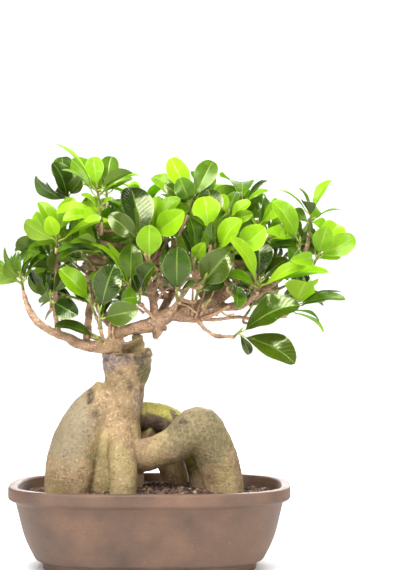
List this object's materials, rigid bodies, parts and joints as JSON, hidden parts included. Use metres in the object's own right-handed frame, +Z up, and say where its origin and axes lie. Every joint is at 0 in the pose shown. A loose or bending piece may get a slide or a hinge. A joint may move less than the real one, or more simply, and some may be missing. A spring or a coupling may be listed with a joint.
{
  "type": "ficus ginseng bonsai",
  "caption": "Small ornamental fig tree with a swollen grafted trunk on arching roots and a spreading crown of folded oval leaves, standing in a low oval pot filled with soil.",
  "frame": {"origin": "centre of the pot's flat underside, on the surface that it stands on", "axes": "+Z up, +X to the right and +Y away from someone who looks at the tree's front"},
  "size_m": [0.3672, 0.227, 0.419],
  "materials": {
    "pot_clay": "matt unglazed stoneware, dark brown",
    "soil": "coarse dark bonsai soil with moss",
    "wood_bark": "smooth tan bark, freckled and scarred",
    "leaf_young": "bright lime green leaf, waxy, lets light through",
    "leaf_mature": "deep green leaf, glossy and leathery"
  },
  "bodies": {
    "root": {"pot": "pot_clay", "soil": "soil", "trunk_and_branches": "wood_bark", "leaves_back_low_far": "leaf_mature", "leaves_back_low_left": "leaf_mature", "leaves_back_low_right": "leaf_mature", "leaves_big_pair": "leaf_mature", "leaves_centre_round": "leaf_young", "leaves_crown_left": "leaf_young", "leaves_crown_left_back": "leaf_mature", "leaves_crown_middle": "leaf_young", "leaves_crown_right": "leaf_young", "leaves_dark_pair": "leaf_mature", "leaves_dome_1": "leaf_young", "leaves_dome_11": "leaf_young", "leaves_dome_14": "leaf_mature", "leaves_dome_16": "leaf_mature", "leaves_dome_17": "leaf_young", "leaves_dome_19": "leaf_young", "leaves_dome_20": "leaf_mature", "leaves_dome_21": "leaf_mature", "leaves_dome_22": "leaf_mature", "leaves_dome_24": "leaf_young", "leaves_dome_27": "leaf_mature", "leaves_dome_3": "leaf_young", "leaves_dome_30": "leaf_young", "leaves_dome_35": "leaf_mature", "leaves_dome_37": "leaf_mature", "leaves_dome_40": "leaf_mature", "leaves_dome_42": "leaf_mature", "leaves_dome_8": "leaf_young", "leaves_edge_dark": "leaf_mature", "leaves_far_left": "leaf_young", "leaves_gloss": "leaf_mature", "leaves_hanging": "leaf_mature", "leaves_left_arch": "leaf_young", "leaves_left_back": "leaf_mature", "leaves_left_dark": "leaf_mature", "leaves_left_lime": "leaf_young", "leaves_left_low": "leaf_mature", "leaves_lime_behind": "leaf_young", "leaves_lime_middle": "leaf_young", "leaves_lime_pair": "leaf_young", "leaves_lime_right": "leaf_young", "leaves_long_lime": "leaf_mature", "leaves_low_dark": "leaf_mature", "leaves_pale_back": "leaf_mature", "leaves_right_edge": "leaf_young", "leaves_right_fold": "leaf_young", "leaves_right_green": "leaf_mature", "leaves_right_lime": "leaf_young", "leaves_right_shoot": "leaf_young", "leaves_right_tip": "leaf_young", "leaves_stub_leaves": "leaf_mature", "leaves_twig_end": "leaf_young", "leaves_within_middle": "leaf_mature", "leaves_within_right": "leaf_mature"}
  },
  "joints": []
}
